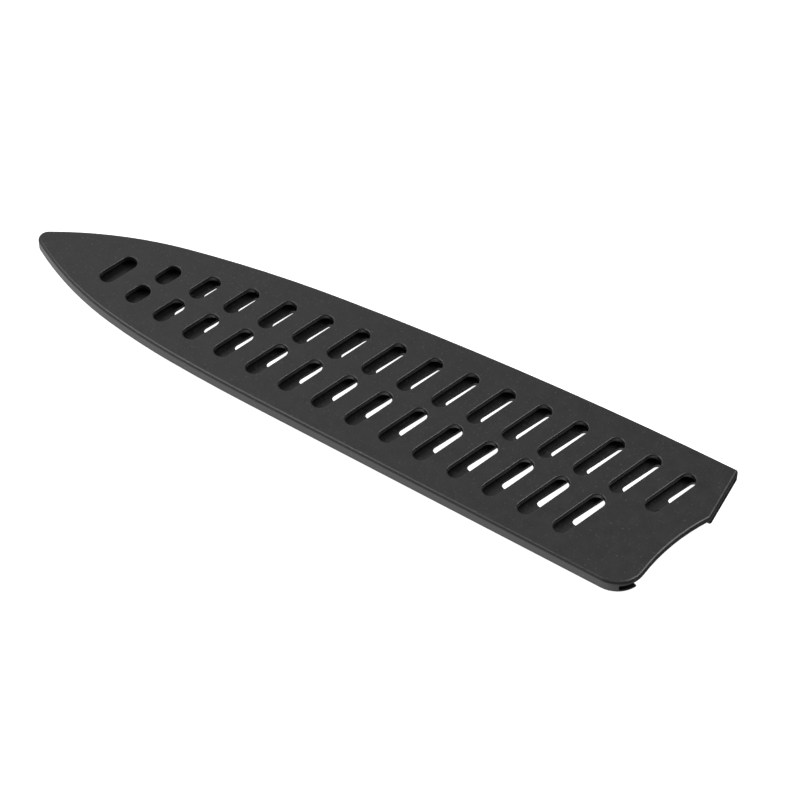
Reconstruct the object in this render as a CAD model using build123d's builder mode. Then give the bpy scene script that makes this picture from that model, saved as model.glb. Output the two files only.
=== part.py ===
from build123d import *
import os

os.makedirs("parts", exist_ok=True)

# Overall size in plan
guard_length = 226.6
guard_width = 55.3

# Plate stack, from the resting face up
lower_plate = 1.1
blade_gap = 2.1
upper_plate = 1.5
ceiling_height = lower_plate + blade_gap

# Rim wall that joins the two shells
wall_width = 1.6
tongue_width = 0.7
tongue_height = 0.4
tongue_stop = 1.6
groove_clearance = 0.04
groove_depth = 0.5

# Outline points as shares of the length and the width, from the far corner round the tip
far_corner_shares = (0.4959, 0.4868)
spine_middle_shares = (-0.0887, 0.4398)
spine_tip_shares = (-0.3123, 0.3127)
tip_far_shares = (-0.4934, 0.0257)
tip_near_shares = (-0.4934, -0.0698)
edge_tip_shares = (-0.3416, -0.3087)
edge_middle_shares = (-0.2353, -0.372)
edge_belly_shares = (-0.1113, -0.4063)
near_corner_shares = (0.4675, -0.5072)
spine_heading_shares = (-1.0, 0.1424)
mouth_overrun = 20.0

# Mouth end of the upper shell
end_corner_shares = (0.5001, 0.1342)
scoop_shares = (0.4779, -0.0919)
near_corner_radius = 8.9
far_corner_radius = 0.9
end_corner_radius = 0.75

# Thumb cut-out in the lower shell
thumb_shares = (0.4807, -0.1235)
thumb_radius = 15.3
thumb_overrun = 20.0
thumb_corner_radius = 0.6
lead_in_bevel = 0.55
lead_in_angle = 45

# Slot rows: the bar between front and back slots bows about its middle slot
first_bar_share = -0.318
last_bar_share = 0.4234
middle_bar_share = 0.0198
bar_bow_share = 0.0313
front_slots = 14
back_slots = 15

# Upper slots: each outer end stops at a share of the width from the outline
upper_angle = 71.03
upper_slot_width = 4.9
upper_bar = 3.3
upper_slot_shift = -0.245
upper_front_share = 0.181
upper_back_share = 0.1922
mouth_slot_share = 0.2049
tip_slot_shares = (-0.3734, -0.0153)
tip_slot_length = 12.83

# Lower slots: narrower and more slanted, with their bar set toward the spine
lower_angle = 69.0
lower_slot_width = 3.6
lower_bar_start = 3.05
lower_bar_end = 6.05
thumb_slot_setback = 5.5
lower_slot_shift = 0.28
lower_front_share = 0.2957
lower_back_share = 0.1808

# Edge softening
top_round = 0.9
slot_round = 0.4
bottom_round = 0.9
seam_bevel = 0.12

# Halvings used to find where a slot ends
search_steps = 24


def spot(shares):
    """Point in plan from its shares of the length and the width."""
    return Vector(guard_length * shares[0], guard_width * shares[1])


def guard_sides():
    """Arcs of the spine side, tip and cutting-edge side, with a straight run to the mouth."""
    arc_ends = (spine_middle_shares, spine_tip_shares, tip_far_shares, tip_near_shares)
    arc_ends += (edge_tip_shares, edge_middle_shares, edge_belly_shares)
    arcs = []
    start = spot(far_corner_shares)
    heading = spot(spine_heading_shares)
    for shares in arc_ends:
        arcs.append(TangentArc(start, spot(shares), tangent=heading))
        start = arcs[-1] @ 1
        heading = arcs[-1] % 1
    return arcs[0], Line(start, spot(near_corner_shares))


def rim_line(inset):
    """Guard without its mouth end, drawn in by the inset."""
    with BuildSketch() as drawn_in:
        offset(run_out.face(), amount=-inset)
    return drawn_in.sketch


def bar_point(number, shift):
    """Point on the bar line of one slot, moved sideways by the shift."""
    along = number / (back_slots - 1)
    off_middle = along * 2 - 1
    across = Vector(1, 0).rotate(Axis.Z, upper_angle - 90)
    bar_share = first_bar_share + (last_bar_share - first_bar_share) * along
    return spot((bar_share, middle_bar_share - bar_bow_share * off_middle**2)) + across * shift


def outer_end(base, direction, margin):
    """Distance along the direction at which the side of the guard is the margin away."""
    near = 0.0
    far = guard_width
    for _ in range(search_steps):
        middle = (near + far) / 2
        point = base + direction * middle
        if run_out_face.is_inside(point) and run_out_wire.distance_to(point) > margin:
            near = middle
        else:
            far = middle
    return near


def slot_row(numbers, angle, side, inner_ends, margin_shares, shift):
    """Centre, cap spacing and angle of every slot on one side of the bar."""
    row = []
    for number, inner_end, margin_share in zip(numbers, inner_ends, margin_shares):
        base = bar_point(number, shift)
        direction = Vector(1, 0).rotate(Axis.Z, angle) * side
        outer = outer_end(base, direction, guard_width * margin_share)
        row.append((base + direction * ((outer + inner_end) / 2), outer - inner_end, angle))
    return row


def draw_slots(slots, width):
    """Slots drawn into the sketch that is open."""
    for centre, spacing, angle in slots:
        with Locations(centre):
            SlotCenterToCenter(spacing, width, rotation=angle)


def rim_ring(width, stop):
    """Ring along the middle of the rim wall that stops short of the mouth."""
    with BuildSketch() as ring:
        add(rim_line(wall_width / 2 - width / 2))
        add(rim_line(wall_width / 2 + width / 2), mode=Mode.SUBTRACT)
        with Locations((-stop, 0)):
            add(outline.sketch, mode=Mode.INTERSECT)
    return ring.sketch


# Plan outline of the guard
end_corner = spot(end_corner_shares)
with BuildSketch() as outline:
    with BuildLine():
        spine_side, edge_side = guard_sides()
        Line(spine_side @ 0, end_corner)
        ThreePointArc(end_corner, spot(scoop_shares), edge_side @ 1)
    make_face()
    fillet(outline.vertices().sort_by_distance(edge_side @ 1)[0], near_corner_radius)
    fillet(outline.vertices().sort_by_distance(spine_side @ 0)[0], far_corner_radius)
    fillet(outline.vertices().sort_by_distance(end_corner)[0], end_corner_radius)

# The same outline with its sides run straight out past the mouth
with BuildSketch() as run_out:
    with BuildLine():
        spine_side, edge_side = guard_sides()
        spine_out = Line(spine_side @ 0, spine_side @ 0 - (spine_side % 0) * mouth_overrun)
        edge_out = Line(edge_side @ 1, edge_side @ 1 + (edge_side % 1) * mouth_overrun)
        Line(spine_out @ 1, edge_out @ 1)
    make_face()
run_out_face = run_out.face()
run_out_wire = run_out_face.outer_wire()

# Slot tables for both shells
upper_cap = upper_slot_width / 2
upper_inner = [upper_bar / 2 + upper_cap] * back_slots
front_shares = [upper_front_share] * front_slots
back_shares = [upper_back_share] * (back_slots - 1) + [mouth_slot_share]
front_numbers = range(front_slots)
back_numbers = range(back_slots)
upper_slots = slot_row(front_numbers, upper_angle, -1, upper_inner, front_shares, upper_slot_shift)
upper_slots += slot_row(back_numbers, upper_angle, 1, upper_inner, back_shares, upper_slot_shift)
upper_slots.append((spot(tip_slot_shares), tip_slot_length - upper_slot_width, upper_angle))
lower_cap = lower_slot_width / 2
front_inner = [lower_cap - lower_bar_start] * front_slots
back_inner = [lower_cap + lower_bar_end] * (back_slots - 2) + [lower_cap + thumb_radius - thumb_slot_setback]
front_shares = [lower_front_share] * front_slots
back_shares = [lower_back_share] * back_slots
front_numbers = range(1, front_slots)
back_numbers = range(1, back_slots)
lower_slots = slot_row(front_numbers, lower_angle, -1, front_inner, front_shares, lower_slot_shift)
lower_slots += slot_row(back_numbers, lower_angle, 1, back_inner, back_shares, lower_slot_shift)

# Upper shell: slotted plate with the rim wall and its tongue under it
with BuildPart() as upper_shell:
    with BuildSketch(Plane.XY.offset(lower_plate)):
        add(outline.sketch)
    extrude(amount=blade_gap + upper_plate)
    fillet(upper_shell.faces().sort_by(Axis.Z)[-1].outer_wire().edges(), top_round)
    with BuildSketch(Plane.XY.offset(lower_plate)):
        add(rim_line(wall_width))
    extrude(amount=blade_gap, mode=Mode.SUBTRACT)
    with BuildSketch(Plane.XY.offset(lower_plate - tongue_height)):
        add(rim_ring(tongue_width, tongue_stop))
    extrude(amount=tongue_height)
    with BuildSketch(Plane.XY.offset(ceiling_height)):
        draw_slots(upper_slots, upper_slot_width)
    extrude(amount=upper_plate, mode=Mode.SUBTRACT)
    slot_rims = upper_shell.faces().sort_by(Axis.Z)[-1].inner_wires()
    fillet(slot_rims.edges(), slot_round)

# Lower shell: thin slotted plate with the thumb cut-out and the groove
with BuildPart() as lower_shell:
    with BuildSketch():
        add(outline.sketch)
    extrude(amount=lower_plate)
    fillet(lower_shell.faces().sort_by(Axis.Z)[0].outer_wire().edges(), bottom_round)
    chamfer(lower_shell.faces().sort_by(Axis.Z)[-1].outer_wire().edges(), seam_bevel)
    thumb_middle = spot(thumb_shares)
    thumb_near_side = thumb_middle - Vector(0, thumb_radius)
    thumb_far_side = Vector(end_corner.X, thumb_middle.Y + thumb_radius)
    with BuildSketch() as lower_plan:
        add(outline.sketch)
        with Locations(thumb_middle + Vector(thumb_overrun / 2, 0)):
            SlotCenterToCenter(thumb_overrun, thumb_radius * 2, mode=Mode.SUBTRACT)
        for corner in (thumb_near_side, thumb_far_side):
            fillet(lower_plan.vertices().sort_by_distance(corner)[0], thumb_corner_radius)
    extrude(amount=lower_plate, mode=Mode.INTERSECT)
    with BuildSketch(Plane.XY.offset(lower_plate - lead_in_bevel)):
        with Locations(thumb_middle + Vector(thumb_overrun / 2, 0)):
            SlotCenterToCenter(thumb_overrun, thumb_radius * 2)
    extrude(amount=lead_in_bevel, taper=-lead_in_angle, mode=Mode.SUBTRACT)
    with BuildSketch():
        draw_slots(lower_slots, lower_slot_width)
    extrude(amount=lower_plate, mode=Mode.SUBTRACT)
    with BuildSketch(Plane.XY.offset(lower_plate - groove_depth)):
        add(rim_ring(tongue_width + groove_clearance * 2, tongue_stop - groove_clearance))
    extrude(amount=groove_depth, mode=Mode.SUBTRACT)

upper_shell.part.label = "upper_shell"
lower_shell.part.label = "lower_shell"
export_step(upper_shell.part, "parts/upper_shell.step")
export_step(lower_shell.part, "parts/lower_shell.step")
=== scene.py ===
import bpy
from mathutils import Matrix, Vector

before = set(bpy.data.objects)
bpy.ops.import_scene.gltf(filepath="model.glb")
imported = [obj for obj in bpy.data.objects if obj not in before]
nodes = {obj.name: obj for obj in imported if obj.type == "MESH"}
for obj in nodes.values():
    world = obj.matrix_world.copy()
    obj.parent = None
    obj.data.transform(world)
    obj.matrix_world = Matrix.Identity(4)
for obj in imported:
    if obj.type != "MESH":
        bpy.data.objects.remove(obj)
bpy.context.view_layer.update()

# Plastic: its two mottled tones, its specks and its moulded texture
dark_tone = (0.007, 0.007, 0.0072)
light_tone = (0.016, 0.016, 0.0164)
speck_tone = (0.06, 0.06, 0.061)
speck_levels = (0.62, 0.74)
speck_strength = 0.6
roughness_range = (0.26, 0.38)
texture_strength = 0.4
texture_depth = 0.0001

# Noise patterns: scale, detail and roughness
mottle_pattern = (260.0, 4.0, 0.6)
speck_pattern = (1300.0, 2.0, 0.5)
texture_pattern = (1500.0, 3.0, 0.65)

# Floor, a hair under the part so that no two faces lie in one plane
floor_size = 6.0
floor_height = -0.00005
floor_grey = (0.6, 0.6, 0.6)
floor_roughness = 0.9
floor_glow = 0.95

# Room light above the horizon, brighter toward the tip end
room_glow = (0.9, 0.24)
room_edge = (-0.36, -0.21)

# Table light below the horizon, brighter in front on the left
table_glow = (0.12, 1.12)
table_edge = (0.35, 1.0)
bright_patch = (-0.35, -0.45, -0.82)
horizon = (-0.2, 0.0)

# Square lights: name, place, target, side and power
softboxes = (
    ("overhead", (-0.38, -0.08, 0.68), (-0.05, 0, 0), 0.45, 2.2),
    ("back", (0.42, 0.32, 0.8), (0.05, 0, 0), 0.5, 4.8),
)

# Camera at the photographed angle
camera_place = (0.332062, -0.535095, 0.78017)
camera_right = (0.8598, 0.5107, 0)
camera_forward = (-0.31936, 0.53754, -0.78043)
camera_lens = 152.0
camera_sensor = 36.0
camera_clip = (0.01, 20)

white = (1, 1, 1)


def noise(tree, where, pattern):
    """Noise over the given coordinates."""
    made = tree.nodes.new("ShaderNodeTexNoise")
    for socket, value in zip(("Scale", "Detail", "Roughness"), pattern):
        made.inputs[socket].default_value = value
    tree.links.new(where, made.inputs["Vector"])
    return made.outputs["Fac"]


def remap(tree, value, levels, results):
    """Value between two levels turned into a value between two results."""
    made = tree.nodes.new("ShaderNodeMapRange")
    sockets = made.inputs
    sockets["From Min"].default_value, sockets["From Max"].default_value = levels
    sockets["To Min"].default_value, sockets["To Max"].default_value = results
    tree.links.new(value, sockets["Value"])
    return made.outputs["Result"]


def colour_mix(tree, factor, first, second):
    """Mix of two colours, of which the first may be the output of another node."""
    made = tree.nodes.new("ShaderNodeMix")
    made.data_type = "RGBA"
    if isinstance(first, tuple):
        made.inputs["A"].default_value = (*first, 1)
    else:
        tree.links.new(first, made.inputs["A"])
    made.inputs["B"].default_value = (*second, 1)
    tree.links.new(factor, made.inputs["Factor"])
    return made.outputs["Result"]


def moulded_plastic(name):
    """Fine grained plastic: mottled tone, sparse pale specks and a moulded texture."""
    material = bpy.data.materials.new(name)
    material.use_nodes = True
    tree = material.node_tree
    link = tree.links.new
    shader = tree.nodes["Principled BSDF"]
    where = tree.nodes.new("ShaderNodeTexCoord").outputs["Object"]

    mottle = noise(tree, where, mottle_pattern)
    tone = colour_mix(tree, mottle, dark_tone, light_tone)
    dust = noise(tree, where, speck_pattern)
    specks = remap(tree, dust, speck_levels, (0, speck_strength))
    link(colour_mix(tree, specks, tone, speck_tone), shader.inputs["Base Color"])
    link(remap(tree, mottle, (0, 1), roughness_range), shader.inputs["Roughness"])

    texture = noise(tree, where, texture_pattern)
    bump = tree.nodes.new("ShaderNodeBump")
    bump.inputs["Strength"].default_value = texture_strength
    bump.inputs["Distance"].default_value = texture_depth
    link(texture, bump.inputs["Height"])
    link(bump.outputs["Normal"], shader.inputs["Normal"])
    return material


def plain_floor():
    """White floor that glows like the background of the photograph."""
    bpy.ops.mesh.primitive_plane_add(size=floor_size, location=(0, 0, floor_height))
    floor = bpy.context.object
    floor.name = "floor"
    paper = bpy.data.materials.new("white_floor")
    paper.use_nodes = True
    sockets = paper.node_tree.nodes["Principled BSDF"].inputs
    sockets["Base Color"].default_value = (*floor_grey, 1)
    sockets["Roughness"].default_value = floor_roughness
    sockets["Emission Color"].default_value = (*white, 1)
    sockets["Emission Strength"].default_value = floor_glow
    floor.data.materials.append(paper)
    floor.visible_glossy = False
    return floor


def studio_room():
    """World with the room light above the horizon and the table light below it."""
    world = bpy.data.worlds.new("studio")
    bpy.context.scene.world = world
    world.use_nodes = True
    tree = world.node_tree
    background = tree.nodes["Background"]
    background.inputs["Color"].default_value = (*white, 1)
    heading = tree.nodes.new("ShaderNodeTexCoord").outputs["Generated"]
    toward_patch = tree.nodes.new("ShaderNodeVectorMath")
    toward_patch.operation = "DOT_PRODUCT"
    toward_patch.inputs[1].default_value = bright_patch
    tree.links.new(heading, toward_patch.inputs[0])
    table = remap(tree, toward_patch.outputs["Value"], table_edge, table_glow)
    split = tree.nodes.new("ShaderNodeSeparateXYZ")
    tree.links.new(heading, split.inputs["Vector"])
    rise = remap(tree, split.outputs["Z"], horizon, (0, 1))
    room = remap(tree, split.outputs["X"], room_edge, room_glow)
    glow = tree.nodes.new("ShaderNodeMix")
    glow.data_type = "FLOAT"
    tree.links.new(rise, glow.inputs["Factor"])
    tree.links.new(table, glow.inputs["A"])
    tree.links.new(room, glow.inputs["B"])
    tree.links.new(glow.outputs["Result"], background.inputs["Strength"])


def softbox(name, place, target, side, power):
    """Square area light turned to its target."""
    lamp = bpy.data.lights.new(name, "AREA")
    lamp.shape = "SQUARE"
    lamp.size = side
    lamp.energy = power
    holder = bpy.data.objects.new(name, lamp)
    holder.location = place
    aim = Vector(target) - Vector(place)
    holder.rotation_euler = aim.to_track_quat("-Z", "Y").to_euler()
    bpy.context.scene.collection.objects.link(holder)


def photo_camera():
    """Camera with the photograph's place, direction and lens."""
    camera = bpy.data.cameras.new("camera")
    camera.lens = camera_lens
    camera.sensor_width = camera_sensor
    camera.clip_start, camera.clip_end = camera_clip
    eye = bpy.data.objects.new("camera", camera)
    eye.location = camera_place
    right = Vector(camera_right).normalized()
    forward = Vector(camera_forward).normalized()
    up = right.cross(forward).normalized()
    eye.rotation_euler = Matrix((right, up, -forward)).transposed().to_euler()
    bpy.context.scene.collection.objects.link(eye)
    return eye


# Both shells are moulded in the same plastic
plastic = moulded_plastic("grained_plastic")
for shell in ("upper_shell", "lower_shell"):
    for slot in nodes[shell].material_slots:
        slot.material = plastic

# Floor, light and camera
floor = plain_floor()
studio_room()
for box in softboxes:
    softbox(*box)
bpy.context.scene.camera = photo_camera()
bpy.context.scene.view_settings.view_transform = "Standard"
